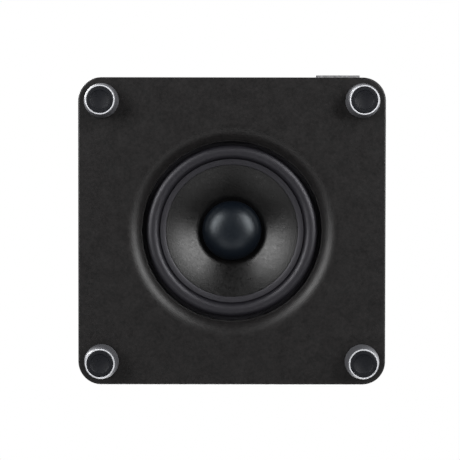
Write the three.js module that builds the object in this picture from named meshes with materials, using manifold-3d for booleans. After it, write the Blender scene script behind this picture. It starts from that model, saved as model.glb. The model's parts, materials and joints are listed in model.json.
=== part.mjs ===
// A compact down-firing powered subwoofer: a square cabinet with rounded vertical edges that
// stands on four turned feet, one woofer in its underside and an amplifier panel in its back.
// Millimetres. +Z is up, -Y is the front, and the feet rest on z = 0.

import * as THREE from 'three';
import { mergeVertices } from 'three/addons/utils/BufferGeometryUtils.js';
import Module from 'manifold-3d';

const wasm = await Module();
wasm.setup();

// ---------------------------------------------------------------- driving dimensions

const GAP = 0.3; // between faces that touch on the real object
const MERGE_DISTANCE = 1e-4;
const CUT_OVERRUN = 5; // how far a cutting tool reaches past the face it leaves

const CABINET_WIDTH = 270;
const CABINET_HEIGHT = 280;
const EDGE_RADIUS = 20.5; // vertical edges, seen from above
const BOARD = 18; // thickness of the walls and of the bottom baffle
const INNER_CORNER_RADIUS = 6;
const CORNER_STEPS = 8;

const FOOT_HEIGHT = 22;
const FOOT_BASE_RADIUS = 15.2;
const FOOT_TIP_RADIUS = 13.3;
const FOOT_INSET = EDGE_RADIUS; // the feet are concentric with the rounded edges
const FOOT_SEGMENTS = 16;

const FACE_RADIUS = 92.3; // where the rounded lip of the woofer opening meets the underside
const THROAT_RADIUS = 79.3;
const LIP_RADIUS = 16.5; // of the rounded lip's section
const LIP_SHELF_WIDTH = 1.1; // a narrow shelf behind the rounded lip
const LIP_SHELF_DEPTH = 1.7;
const OPENING_SEGMENTS = 40;

const DRIVER_SEGMENTS = 32;
const DRIVER_FLANGE_RADIUS = 90;
const DRIVER_SCREW_RADIUS = 85;
const SHEET = 2; // steel of the basket
const ROLL_OUTER_RADIUS = 75.8;
const ROLL_INNER_RADIUS = 64.2;
const ROLL_HEIGHT = 4.1;
const CONE_RADIUS = 58.5;
const CONE_RIM_SLOPE = 0.26; // the cone flares: it is flattest at its rim
const CONE_CURVE = 0.0042; // gain in slope towards the neck, halved, per millimetre
const CAP_RADIUS = 28;
const CAP_HEIGHT = 15.5;
const FORMER_RADIUS = 17.7;
const POLE_RADIUS = 16.6;
const MAGNET_RADIUS = 45;
const MAGNET_THICKNESS = 16;

const PANEL_WIDTH = 200;
const PANEL_HEIGHT = 200;
const PANEL_RAISE = 8; // above the middle of the cabinet's back
const PANEL_THICKNESS = 2.5;
const PANEL_CORNER_RADIUS = 6;
const PANEL_BORDER = 8; // how far the panel laps the wall round its cutout
const PANEL_SCREW_INSET = 4.5;
const KNOB_RADIUS = 8.6;
const KNOB_HEIGHT = 14;
const POWER_TILT = 8; // degrees from the middle to either side

const BADGE_WIDTH = 39.4;
const BADGE_HEIGHT = 10;
const BADGE_THICKNESS = 2.5;
const BADGE_CENTRE_X = 93.7;
const BADGE_CENTRE_Z = 47;

// ---------------------------------------------------------------- levels worked out from them

const FACE_Z = FOOT_HEIGHT; // underside of the cabinet
const INNER_Z = FACE_Z + BOARD; // inner face of the bottom baffle
const TOP_Z = FACE_Z + CABINET_HEIGHT;
const HALF = CABINET_WIDTH / 2;

const REBATE_DEPTH = 5; // the woofer's flange lies in a rebate in the baffle's inner face
const REBATE_Z = INNER_Z - REBATE_DEPTH;
const GASKET_THICKNESS = 1.4;
const FLANGE_Z = REBATE_Z + GAP + GASKET_THICKNESS + GAP; // front of the basket's flange
const LIP_RECESS = 9; // how far behind the flange the surround's outer lip is glued
const LEDGE_Z = FLANGE_Z + 33; // where the spider is glued
const SEAT_Z = LEDGE_Z + 10; // where the motor is fixed
const TOP_PLATE_Z = SEAT_Z + SHEET + GAP;
const TOP_PLATE_THICKNESS = 6;
const MAGNET_Z = TOP_PLATE_Z + TOP_PLATE_THICKNESS + GAP;
const BACK_PLATE_Z = MAGNET_Z + MAGNET_THICKNESS + GAP;
const BACK_PLATE_THICKNESS = 6;
const NECK_RADIUS = FORMER_RADIUS + GAP;
const NECK_Z = coneSurfaceZ(NECK_RADIUS);

const PANEL_BACK = GAP + 1 + GAP; // heights above the back wall, outwards
const PANEL_FACE = PANEL_BACK + PANEL_THICKNESS;
const PANEL_CENTRE_Z = (FACE_Z + TOP_Z) / 2 + PANEL_RAISE;
const KNOB_CLEARANCE = 0.5;
const REAR_REACH = PANEL_FACE + KNOB_CLEARANCE + KNOB_HEIGHT;
const FRONT_REACH = GAP + BADGE_THICKNESS;

// ---------------------------------------------------------------- materials

const finish = (color, roughness, metalness = 0) =>
  new THREE.MeshStandardMaterial({ color, roughness, metalness });

const CABINET_FINISH = finish(0x232325, 0.55);
const FOOT_FINISH = finish(0x3a3b3d, 0.45);
const RING_FINISH = finish(0xdcdee0, 0.2, 1);
const RUBBER = finish(0x151719, 0.7);
const STEEL = finish(0x8d9095, 0.4, 1);
const BLACK_STEEL = finish(0x141416, 0.45, 0.4);
const PAPER = finish(0x26282c, 0.85);
const CAP_FINISH = finish(0x0e1012, 0.3);
const FERRITE = finish(0x1e1e20, 0.7);
const COPPER = finish(0xb06a3a, 0.35, 1);
const KAPTON = finish(0x9a6a2a, 0.5);
const SPIDER_CLOTH = finish(0xb9862f, 0.9);
const FOAM = finish(0x101010, 0.95);
const WADDING = finish(0xd8d8d2, 1);
const PANEL_FINISH = finish(0x1a1a1c, 0.5, 0.3);
const BLACK_PLASTIC = finish(0x161618, 0.4);
const GOLD = finish(0xc9a24a, 0.3, 1);
const RESIN_BOARD = finish(0x1f5a35, 0.6);
const ALUMINIUM = finish(0xb8babd, 0.4, 1);
const WINDING_TAPE = finish(0xd3b24a, 0.5);
const LENS = finish(0x3fb8e8, 0.2);
const CABLE = finish(0x1c1c1e, 0.5);

// ---------------------------------------------------------------- geometry helpers

function toSolid(geometry) {
  const bare = new THREE.BufferGeometry();
  bare.setAttribute('position', geometry.getAttribute('position'));
  bare.setIndex(geometry.getIndex());
  const merged = mergeVertices(bare, MERGE_DISTANCE);
  const index = merged.getIndex().array;
  const triangles = [];
  for (let i = 0; i < index.length; i += 3) {
    const [a, b, c] = index.subarray(i, i + 3);
    if (a !== b && b !== c && c !== a) triangles.push(a, b, c);
  }
  const vertProperties = new Float32Array(merged.getAttribute('position').array);
  const mesh = new wasm.Mesh({ numProp: 3, vertProperties, triVerts: new Uint32Array(triangles) });
  return new wasm.Manifold(mesh);
}

function toGeometry(solid) {
  const mesh = solid.getMesh();
  const geometry = new THREE.BufferGeometry();
  geometry.setAttribute('position', new THREE.BufferAttribute(mesh.vertProperties, 3));
  geometry.setIndex(new THREE.BufferAttribute(mesh.triVerts, 1));
  geometry.computeVertexNormals();
  return geometry;
}

function cut(geometry, tools) {
  return toGeometry(tools.reduce((solid, tool) => solid.subtract(toSolid(tool)), toSolid(geometry)));
}

function join(geometry, others) {
  return toGeometry(others.reduce((solid, other) => solid.add(toSolid(other)), toSolid(geometry)));
}

// A turned piece round Z. The profile lists [radius, z] anticlockwise; one that doesn't start
// and end on the axis is closed on itself.
function turned(profile, segments) {
  const points = profile.map(([radius, z]) => new THREE.Vector2(radius, z));
  const onAxis = points[0].x === 0 && points.at(-1).x === 0;
  if (!onAxis) points.push(points[0].clone());
  return new THREE.LatheGeometry(points, segments).rotateX(Math.PI / 2);
}

function rod(radius, low, high, segments = 12) {
  return turned([[0, low], [radius, low], [radius, high], [0, high]], segments);
}

function block(width, depth, low, high, x = 0, y = 0) {
  return new THREE.BoxGeometry(width, depth, high - low).translate(x, y, (low + high) / 2);
}

function roundedRect(width, height, radius, ShapeClass = THREE.Shape, x = 0, y = 0) {
  const shape = new ShapeClass();
  const [w, h] = [width / 2 - radius, height / 2 - radius];
  const centres = [[w, -h, -0.5], [w, h, 0], [-w, h, 0.5], [-w, -h, 1]];
  for (const [cx, cy, quarter] of centres) {
    const start = quarter * Math.PI;
    shape.absarc(x + cx, y + cy, radius, start, start + Math.PI / 2, false);
  }
  shape.closePath();
  return shape;
}

function plate(shape, low, high, curveSegments = CORNER_STEPS) {
  const options = { depth: high - low, bevelEnabled: false, curveSegments };
  return new THREE.ExtrudeGeometry(shape, options).translate(0, 0, low);
}

function circleHole(x, y, radius) {
  const hole = new THREE.Path();
  hole.absarc(x, y, radius, 0, 2 * Math.PI, false);
  return hole;
}

// A round wire or cable along a smooth curve through the points.
function wire(points, radius, sides, steps) {
  const curve = new THREE.CatmullRomCurve3(points.map((point) => new THREE.Vector3(...point)));
  const section = new THREE.Shape();
  for (let i = 0; i < sides; i++) {
    const angle = (2 * Math.PI * i) / sides;
    const corner = [radius * Math.cos(angle), radius * Math.sin(angle)];
    if (i === 0) section.moveTo(...corner);
    else section.lineTo(...corner);
  }
  section.closePath();
  return new THREE.ExtrudeGeometry(section, { steps, extrudePath: curve, bevelEnabled: false });
}

function arcPoints(centreRadius, centreZ, radius, startDegrees, endDegrees, steps) {
  const points = [];
  for (let i = 0; i <= steps; i++) {
    const angle = THREE.MathUtils.degToRad(startDegrees + ((endDegrees - startDegrees) * i) / steps);
    points.push([centreRadius + radius * Math.cos(angle), centreZ + radius * Math.sin(angle)]);
  }
  return points;
}

function aroundAxis(radius, count, firstDegrees) {
  const places = [];
  for (let i = 0; i < count; i++) {
    const angle = THREE.MathUtils.degToRad(firstDegrees + (360 * i) / count);
    places.push([radius * Math.cos(angle), radius * Math.sin(angle), angle]);
  }
  return places;
}

function addMesh(parent, name, geometry, material) {
  const mesh = new THREE.Mesh(geometry, material);
  mesh.name = name;
  parent.add(mesh);
  return mesh;
}

// ---------------------------------------------------------------- where fasteners go

const FOOT_OFFSET = HALF - FOOT_INSET;
const FOOT_PLACES = [];
for (const [endName, ySign] of [['front', -1], ['rear', 1]]) {
  for (const [sideName, xSign] of [['left', -1], ['right', 1]]) {
    FOOT_PLACES.push([`${endName}_${sideName}`, xSign * FOOT_OFFSET, ySign * FOOT_OFFSET]);
  }
}

const DRIVER_SCREW_PLACES = aroundAxis(DRIVER_SCREW_RADIUS, 4, 45);

const PANEL_SCREW_X = PANEL_WIDTH / 2 - PANEL_SCREW_INSET;
const PANEL_SCREW_Y = PANEL_HEIGHT / 2 - PANEL_SCREW_INSET;
const PANEL_CORNER_SCREWS = [];
for (const xSign of [-1, 1]) {
  for (const ySign of [-1, 1]) {
    PANEL_CORNER_SCREWS.push([xSign * PANEL_SCREW_X, ySign * PANEL_SCREW_Y]);
  }
}
const PANEL_SIDE_SCREWS = [[PANEL_SCREW_X, 0], [-PANEL_SCREW_X, 0], [0, PANEL_SCREW_Y], [0, -PANEL_SCREW_Y]];
const PANEL_SCREW_HOLES = [...PANEL_CORNER_SCREWS, ...PANEL_SIDE_SCREWS];
const PANEL_SCREW_LENGTH = 14;
const WOOD_SCREW_RADIUS = 1.7;
const PILOT_RADIUS = WOOD_SCREW_RADIUS + GAP;
const SCREW_SEGMENTS = 8;

// A pan-headed screw along Z: the head starts at z = 0, and the shank goes down from it.
function panScrew(headRadius, headHeight, shankRadius, shankLength) {
  const profile = [
    [0, -shankLength], [shankRadius * 0.5, -shankLength], [shankRadius, -shankLength + 2],
    [shankRadius, 0], [headRadius, 0], [headRadius * 0.75, headHeight], [0, headHeight],
  ];
  return turned(profile, SCREW_SEGMENTS);
}

// ---------------------------------------------------------------- cabinet

const group = new THREE.Group();
// The knobs at the back reach further than the badge at the front, so the cabinet sits this far
// forward of the origin, which is the middle of the whole object's footprint.
group.position.y = (FRONT_REACH - REAR_REACH) / 2;

// The back panel's own frame: x to the right and y up as seen from behind, z outwards.
const panel = new THREE.Group();
panel.position.set(0, HALF, PANEL_CENTRE_Z);
panel.rotation.set(Math.PI / 2, Math.PI, 0);
group.add(panel);

function inPanelFrame(geometry) {
  panel.updateMatrix();
  return geometry.applyMatrix4(panel.matrix);
}

function cabinetShell() {
  const outline = roundedRect(CABINET_WIDTH, CABINET_WIDTH, EDGE_RADIUS);
  const inner = CABINET_WIDTH - 2 * BOARD;
  const tools = [
    plate(roundedRect(inner, inner, INNER_CORNER_RADIUS), INNER_Z - CUT_OVERRUN, TOP_Z - BOARD, 2),
  ];
  const cutoutWidth = PANEL_WIDTH - 2 * PANEL_BORDER;
  const cutoutHeight = PANEL_HEIGHT - 2 * PANEL_BORDER;
  tools.push(inPanelFrame(block(cutoutWidth, cutoutHeight, -BOARD - CUT_OVERRUN, CUT_OVERRUN)));
  for (const [x, y] of PANEL_SCREW_HOLES) {
    const pilot = rod(PILOT_RADIUS, -PANEL_SCREW_LENGTH, CUT_OVERRUN, 8).translate(x, y, 0);
    tools.push(inPanelFrame(pilot));
  }
  return cut(plate(outline, INNER_Z + GAP, TOP_Z), tools);
}

const FOOT_SCREW_TIP_Z = FACE_Z + 12.5;
const FOOT_PILOT_RADIUS = 2.3;
const DRIVER_SCREW_TIP_Z = REBATE_Z - 7;

function bottomBaffle() {
  const outline = roundedRect(CABINET_WIDTH, CABINET_WIDTH, EDGE_RADIUS);
  const shelf = THROAT_RADIUS + LIP_SHELF_WIDTH;
  const reach = THREE.MathUtils.radToDeg(Math.asin((FACE_RADIUS - shelf) / LIP_RADIUS));
  const lip = arcPoints(FACE_RADIUS, FACE_Z + LIP_RADIUS, LIP_RADIUS, 270, 270 - reach, 5);
  const shelfZ = lip.at(-1)[1] + LIP_SHELF_DEPTH;
  const rebate = DRIVER_FLANGE_RADIUS + 2 * GAP;
  const opening = [
    [0, FACE_Z - CUT_OVERRUN], [FACE_RADIUS, FACE_Z - CUT_OVERRUN], ...lip, [shelf, shelfZ],
    [THROAT_RADIUS, shelfZ], [THROAT_RADIUS, REBATE_Z], [rebate, REBATE_Z],
    [rebate, INNER_Z + CUT_OVERRUN], [0, INNER_Z + CUT_OVERRUN],
  ];
  const tools = [turned(opening, OPENING_SEGMENTS)];
  for (const [, x, y] of FOOT_PLACES) {
    const pilot = rod(FOOT_PILOT_RADIUS, FACE_Z - CUT_OVERRUN, FOOT_SCREW_TIP_Z + 1, 8);
    tools.push(pilot.translate(x, y, 0));
  }
  for (const [x, y] of DRIVER_SCREW_PLACES) {
    const pilot = rod(PILOT_RADIUS, DRIVER_SCREW_TIP_Z - 1, INNER_Z + CUT_OVERRUN, 8);
    tools.push(pilot.translate(x, y, 0));
  }
  return cut(plate(outline, FACE_Z, INNER_Z), tools);
}

addMesh(group, 'cabinet_shell', cabinetShell(), CABINET_FINISH);
addMesh(group, 'bottom_baffle', bottomBaffle(), CABINET_FINISH);

const LINER_THICKNESS = 24;
const linerTop = TOP_Z - BOARD - GAP;
addMesh(group, 'damping_liner', block(220, 160, linerTop - LINER_THICKNESS, linerTop), WADDING);

const badge = addMesh(
  group, 'front_badge', plate(roundedRect(BADGE_WIDTH, BADGE_HEIGHT, 1.5), 0, BADGE_THICKNESS, 3), ALUMINIUM,
);
badge.rotation.x = Math.PI / 2;
badge.position.set(BADGE_CENTRE_X, -HALF - GAP, BADGE_CENTRE_Z);

// ---------------------------------------------------------------- feet

const RING_WIDTH = 1.5;
const RING_LOW = 0.6; // the rubber pad stands this far proud of the bright ring
const RING_HIGH = 2.5;
const PAD_RADIUS = FOOT_TIP_RADIUS - RING_WIDTH - GAP;
const PAD_THICKNESS = 3.3;
const PAD_DIMPLE_RADIUS = 3.8;
const PAD_DIMPLE_DEPTH = 1;
const FOOT_SCREW_HEAD_RADIUS = 4.4;
const FOOT_SCREW_HEAD_HEIGHT = 3;
const FOOT_SCREW_SEAT_Z = 7.2;

function footBody() {
  const counterbore = FOOT_SCREW_HEAD_RADIUS + 0.5;
  const recess = PAD_RADIUS + GAP;
  const ceiling = PAD_THICKNESS + GAP;
  const bottom = RING_HIGH + GAP;
  return turned([
    [FOOT_PILOT_RADIUS, FOOT_SCREW_SEAT_Z], [counterbore, FOOT_SCREW_SEAT_Z], [counterbore, ceiling],
    [recess, ceiling], [recess, bottom], [FOOT_TIP_RADIUS + 0.2, bottom],
    [FOOT_BASE_RADIUS, FACE_Z - GAP], [FOOT_PILOT_RADIUS, FACE_Z - GAP],
  ], FOOT_SEGMENTS);
}

function footRing() {
  const inner = FOOT_TIP_RADIUS - RING_WIDTH;
  return turned([
    [inner, RING_LOW], [FOOT_TIP_RADIUS - 0.7, RING_LOW], [FOOT_TIP_RADIUS, RING_LOW + 0.7],
    [FOOT_TIP_RADIUS, RING_HIGH], [inner, RING_HIGH],
  ], FOOT_SEGMENTS);
}

function footPad() {
  return turned([
    [0, PAD_DIMPLE_DEPTH], [PAD_DIMPLE_RADIUS - 0.5, PAD_DIMPLE_DEPTH], [PAD_DIMPLE_RADIUS, 0],
    [PAD_RADIUS - 0.5, 0], [PAD_RADIUS, 0.5], [PAD_RADIUS, PAD_THICKNESS], [0, PAD_THICKNESS],
  ], FOOT_SEGMENTS);
}

function footScrew() {
  const seat = FOOT_SCREW_SEAT_Z - GAP;
  const screw = panScrew(FOOT_SCREW_HEAD_RADIUS, FOOT_SCREW_HEAD_HEIGHT, 2, FOOT_SCREW_TIP_Z - seat);
  return screw.rotateX(Math.PI).translate(0, 0, seat);
}

for (const [place, x, y] of FOOT_PLACES) {
  const foot = new THREE.Group();
  foot.position.set(x, y, 0);
  group.add(foot);
  addMesh(foot, `foot_body_${place}`, footBody(), FOOT_FINISH);
  addMesh(foot, `foot_ring_${place}`, footRing(), RING_FINISH);
  addMesh(foot, `foot_pad_${place}`, footPad(), RUBBER);
  addMesh(foot, `foot_screw_${place}`, footScrew(), STEEL);
}

// ---------------------------------------------------------------- woofer

const SCREW_CLEARANCE_RADIUS = 2.4;
const LIP_THICKNESS = 0.7; // of the surround's flat edges
const LIP_Z = FLANGE_Z - GAP - LIP_THICKNESS;
const PAPER_THICKNESS = 1.2;

function driverGasket() {
  const ring = turned([
    [THROAT_RADIUS + 0.7, REBATE_Z + GAP], [DRIVER_FLANGE_RADIUS, REBATE_Z + GAP],
    [DRIVER_FLANGE_RADIUS, FLANGE_Z - GAP], [THROAT_RADIUS + 0.7, FLANGE_Z - GAP],
  ], DRIVER_SEGMENTS);
  const holes = DRIVER_SCREW_PLACES.map(
    ([x, y]) => rod(SCREW_CLEARANCE_RADIUS, REBATE_Z - 1, FLANGE_Z + 1, 8).translate(x, y, 0),
  );
  return cut(ring, holes);
}

const WALL_FOOT_RADIUS = 74;
const LIP_STEP_RADIUS = THROAT_RADIUS + GAP; // inner face of the step between flange and lip seat
const STEP_WALL = 1.1;
const LIP_SEAT_Z = FLANGE_Z + LIP_RECESS;
const LEDGE_OUTER_RADIUS = 53.5;
const LEDGE_INNER_RADIUS = 47.5;
const SEAT_OUTER_RADIUS = 44;
const SEAT_INNER_RADIUS = 22;

function driverBasket() {
  const wallSheet = 1.5; // how far the back of the sloping wall stands off, measured sideways
  const shell = turned([
    [SEAT_INNER_RADIUS, SEAT_Z], [SEAT_OUTER_RADIUS, SEAT_Z], [LEDGE_INNER_RADIUS, LEDGE_Z],
    [LEDGE_OUTER_RADIUS, LEDGE_Z], [WALL_FOOT_RADIUS, LIP_SEAT_Z], [LIP_STEP_RADIUS, LIP_SEAT_Z],
    [LIP_STEP_RADIUS, FLANGE_Z], [DRIVER_FLANGE_RADIUS, FLANGE_Z],
    [DRIVER_FLANGE_RADIUS, FLANGE_Z + SHEET], [LIP_STEP_RADIUS + STEP_WALL, FLANGE_Z + SHEET],
    [LIP_STEP_RADIUS + STEP_WALL, LIP_SEAT_Z + SHEET], [WALL_FOOT_RADIUS + wallSheet, LIP_SEAT_Z + SHEET],
    [LEDGE_OUTER_RADIUS + wallSheet, LEDGE_Z + SHEET], [LEDGE_INNER_RADIUS + wallSheet, LEDGE_Z + SHEET],
    [SEAT_OUTER_RADIUS + wallSheet, SEAT_Z + SHEET], [SEAT_INNER_RADIUS, SEAT_Z + SHEET],
  ], DRIVER_SEGMENTS);
  const windowWidth = 38;
  const windows = aroundAxis(65, 6, 30).map(([x, y, angle]) =>
    block(40, windowWidth, LIP_SEAT_Z + 4, LEDGE_Z - 6).rotateZ(angle).translate(x, y, 0));
  const holes = DRIVER_SCREW_PLACES.map(
    ([x, y]) => rod(SCREW_CLEARANCE_RADIUS, FLANGE_Z - 1, FLANGE_Z + SHEET + 1, 8).translate(x, y, 0),
  );
  return cut(shell, [...windows, ...holes]);
}

// The flattened rubber roll bulges towards the floor. Its outer lip lies behind it, in a groove.
function surround() {
  const middle = (ROLL_OUTER_RADIUS + ROLL_INNER_RADIUS) / 2;
  const half = (ROLL_OUTER_RADIUS - ROLL_INNER_RADIUS) / 2;
  const inside = half - LIP_THICKNESS;
  const top = LIP_Z + LIP_THICKNESS;
  const roll = arcPoints(0, 0, 1, 180, 360, 6).map(
    ([x, z]) => [middle + half * x, LIP_Z + ROLL_HEIGHT * z]);
  const back = arcPoints(0, 0, 1, 360, 180, 4).map(
    ([x, z]) => [middle + inside * x, top + (ROLL_HEIGHT - GAP) * z]);
  const seat = LIP_SEAT_Z - GAP;
  return turned([
    [CONE_RADIUS, LIP_Z], ...roll,
    [ROLL_OUTER_RADIUS, seat - LIP_THICKNESS], [THROAT_RADIUS, seat - LIP_THICKNESS],
    [THROAT_RADIUS, seat], [ROLL_OUTER_RADIUS - LIP_THICKNESS, seat],
    ...back, [CONE_RADIUS, top],
  ], DRIVER_SEGMENTS);
}

// The height of the cone's front at this radius.
function coneSurfaceZ(radius) {
  const inwards = CONE_RADIUS - radius;
  return FLANGE_Z + inwards * CONE_RIM_SLOPE + inwards ** 2 * CONE_CURVE;
}

function cone() {
  const edge = ROLL_INNER_RADIUS - 0.7;
  const front = [NECK_RADIUS, 28, 38, 48, CONE_RADIUS].map((radius) => [radius, coneSurfaceZ(radius)]);
  const back = front.map(([radius, z]) => [radius + 0.3, z + PAPER_THICKNESS]).reverse();
  back.at(-1)[0] = NECK_RADIUS;
  return turned(
    [...front, [edge, FLANGE_Z], [edge, FLANGE_Z + PAPER_THICKNESS], ...back], DRIVER_SEGMENTS,
  );
}

// A half-ellipse in section, so its flank is steep where it meets the cone.
function dustCap() {
  const skin = 0.8;
  const rim = coneSurfaceZ(CAP_RADIUS) - GAP;
  const outside = arcPoints(0, 0, 1, 270, 360, 7).map(([x, z]) => [CAP_RADIUS * x, rim + CAP_HEIGHT * z]);
  const inside = arcPoints(0, 0, 1, 360, 270, 7).map(
    ([x, z]) => [(CAP_RADIUS - skin) * x, rim + (CAP_HEIGHT - skin) * z]);
  outside[0][0] = 0;
  inside.at(-1)[0] = 0;
  return turned([...outside, ...inside], DRIVER_SEGMENTS);
}

// Concentric corrugations of treated cloth between the former and the basket's ledge.
function spider() {
  const thickness = 0.7;
  const inner = NECK_RADIUS;
  const flat = 4.5;
  const outer = LEDGE_OUTER_RADIUS - GAP;
  const middle = LEDGE_Z - GAP - thickness;
  const corrugationStart = inner + flat;
  const corrugationEnd = LEDGE_INNER_RADIUS - 1;
  const steps = 8; // four to each corrugation
  const depth = 1.6;
  const wave = [];
  for (let i = 0; i <= steps; i++) {
    const radius = corrugationStart + ((corrugationEnd - corrugationStart) * i) / steps;
    wave.push([radius, middle - depth * Math.sin((Math.PI * i) / 2)]);
  }
  const front = [[inner, middle], ...wave, [outer, middle]];
  const back = front.map(([radius, z]) => [radius, z + thickness]).reverse();
  return turned([...front, ...back], DRIVER_SEGMENTS);
}

function tube(inner, outer, low, high) {
  return turned([[inner, low], [outer, low], [outer, high], [inner, high]], DRIVER_SEGMENTS);
}

const FORMER_WALL = 0.5;
const WINDING_HEIGHT = 18;
const WINDING_THICKNESS = 1.1;
const GAP_MIDDLE_Z = TOP_PLATE_Z + TOP_PLATE_THICKNESS / 2; // middle of the magnetic gap
const WINDING_LOW = GAP_MIDDLE_Z - WINDING_HEIGHT / 2;
const VENT_RADIUS = 5;

function backPlate() {
  const rear = BACK_PLATE_Z + BACK_PLATE_THICKNESS;
  const edge = MAGNET_RADIUS - 2;
  return turned([
    [VENT_RADIUS, TOP_PLATE_Z], [POLE_RADIUS, TOP_PLATE_Z], [POLE_RADIUS, BACK_PLATE_Z],
    [edge, BACK_PLATE_Z], [edge, rear], [VENT_RADIUS, rear],
  ], DRIVER_SEGMENTS);
}

addMesh(group, 'driver_gasket', driverGasket(), FOAM);
addMesh(group, 'driver_basket', driverBasket(), BLACK_STEEL);
addMesh(group, 'surround', surround(), RUBBER);
addMesh(group, 'cone', cone(), PAPER);
addMesh(group, 'dust_cap', dustCap(), CAP_FINISH);
addMesh(group, 'spider', spider(), SPIDER_CLOTH);
const coilFormer = tube(FORMER_RADIUS - FORMER_WALL, FORMER_RADIUS, NECK_Z - 2, GAP_MIDDLE_Z + 10);
addMesh(group, 'coil_former', coilFormer, KAPTON);
const windingRadius = NECK_RADIUS + WINDING_THICKNESS;
const coilWinding = tube(NECK_RADIUS, windingRadius, WINDING_LOW, WINDING_LOW + WINDING_HEIGHT);
addMesh(group, 'coil_winding', coilWinding, COPPER);
const plateTop = TOP_PLATE_Z + TOP_PLATE_THICKNESS;
addMesh(group, 'top_plate', tube(windingRadius + 0.7, MAGNET_RADIUS - 3, TOP_PLATE_Z, plateTop), STEEL);
addMesh(group, 'magnet_ring', tube(24, MAGNET_RADIUS, MAGNET_Z, MAGNET_Z + MAGNET_THICKNESS), FERRITE);
addMesh(group, 'back_plate', backPlate(), STEEL);

DRIVER_SCREW_PLACES.forEach(([x, y], i) => {
  const seat = FLANGE_Z + SHEET + GAP;
  const shape = panScrew(4, 2.6, WOOD_SCREW_RADIUS, seat - DRIVER_SCREW_TIP_Z);
  const screw = addMesh(group, `driver_screw_${i + 1}`, shape, BLACK_STEEL);
  screw.position.set(x, y, seat);
});

// Two flexible leads run from a tag strip on the flange, through a window, to the cone.
const STRIP_Y = 81.3;
const STRIP_HEIGHT = 14;
const LEAD_RADIUS = 0.8;
const stripZ = FLANGE_Z + SHEET + GAP;
addMesh(group, 'terminal_strip', block(26, 2.5, stripZ, stripZ + STRIP_HEIGHT, 0, STRIP_Y + 1.25), KAPTON);
for (const [sideName, xSign] of [['left', -1], ['right', 1]]) {
  const x = 7 * xSign;
  const landing = 40;
  const landingZ = coneSurfaceZ(Math.hypot(x, landing)) + PAPER_THICKNESS + 0.4 + LEAD_RADIUS + GAP;
  const route = [
    [x, STRIP_Y - GAP, stripZ + 11.5], [x, 72, stripZ + 15], [x, 58, stripZ + 19],
    [x, 47, stripZ + 18.5], [x, landing, landingZ],
  ];
  addMesh(group, `lead_wire_${sideName}`, wire(route, LEAD_RADIUS, 6, 14), COPPER);
}

// The amplifier's cable comes down behind the magnet to the tag strip.
const CABLE_RADIUS = 2.2;
const cableEndY = STRIP_Y + 2.5 + CABLE_RADIUS + GAP;
const cableRoute = [
  [10, 113, 188], [10, 111, 164], [10, 104, 128], [6, 95, 98], [1, 88, 74], [0, cableEndY, 52],
];
addMesh(group, 'speaker_cable', wire(cableRoute, CABLE_RADIUS, 8, 20), CABLE);

// ---------------------------------------------------------------- amplifier panel

const GAIN_X = -44;
const CROSSOVER_X = 16;
const KNOB_Y = 60;
const PHASE_X = 66;
const JACK_Y = 22;
const JACK_X = [-56, -32];
const POWER_Y = -70;
const ROCKER_X = -34;
const INLET_X = 44;
const LENS_X = 2;

const PHASE_TRAVEL = 4;
const PHASE_KNOB = [4.2, 4];
const PHASE_SLOT = [PHASE_KNOB[0] + PHASE_TRAVEL + 1, 4.8];
const BUSHING_RADIUS = 3.9;
const JACK_TAIL_RADIUS = 3.6;
const LENS_RADIUS = 1.5;
const ROCKER_BODY = [13.6, 20.8];
const INLET_BODY = [27.6, 20.4];
const CUTOUT_CLEARANCE = 0.8;
const HOLE_CLEARANCE = 0.8; // round a bushing or a tail that passes through the plate
const HOLE_STEPS = 4;

function rectHole(width, height, x, y, radius = 0.5) {
  return roundedRect(width, height, radius, THREE.Path, x, y);
}

function amplifierPlate() {
  const shape = roundedRect(PANEL_WIDTH, PANEL_HEIGHT, PANEL_CORNER_RADIUS);
  shape.holes = [
    circleHole(GAIN_X, KNOB_Y, BUSHING_RADIUS + HOLE_CLEARANCE),
    circleHole(CROSSOVER_X, KNOB_Y, BUSHING_RADIUS + HOLE_CLEARANCE),
    ...JACK_X.map((x) => circleHole(x, JACK_Y, JACK_TAIL_RADIUS + HOLE_CLEARANCE)),
    circleHole(LENS_X, POWER_Y, LENS_RADIUS + GAP),
    ...PANEL_SCREW_HOLES.map(([x, y]) => circleHole(x, y, PILOT_RADIUS + 0.2)),
    rectHole(...PHASE_SLOT, PHASE_X, KNOB_Y),
    rectHole(ROCKER_BODY[0] + CUTOUT_CLEARANCE, ROCKER_BODY[1] + CUTOUT_CLEARANCE, ROCKER_X, POWER_Y),
    rectHole(INLET_BODY[0] + CUTOUT_CLEARANCE, INLET_BODY[1] + CUTOUT_CLEARANCE, INLET_X, POWER_Y),
  ];
  return plate(shape, PANEL_BACK, PANEL_FACE, HOLE_STEPS);
}

function amplifierGasket() {
  const shape = roundedRect(PANEL_WIDTH, PANEL_HEIGHT, PANEL_CORNER_RADIUS);
  const inner = 2 * PANEL_BORDER - 1;
  shape.holes = [
    rectHole(PANEL_WIDTH - inner, PANEL_HEIGHT - inner, 0, 0, 2),
    ...PANEL_SCREW_HOLES.map(([x, y]) => circleHole(x, y, PILOT_RADIUS + 0.2)),
  ];
  return plate(shape, GAP, PANEL_BACK - GAP, HOLE_STEPS);
}

// The shaft is pressed into the knob and turns with it inside the potentiometer's bushing.
const SHAFT_RADIUS = 2.9;
const BUSHING_TOP = PANEL_FACE + 3.8;
const POT_DEPTH = 9;

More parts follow.
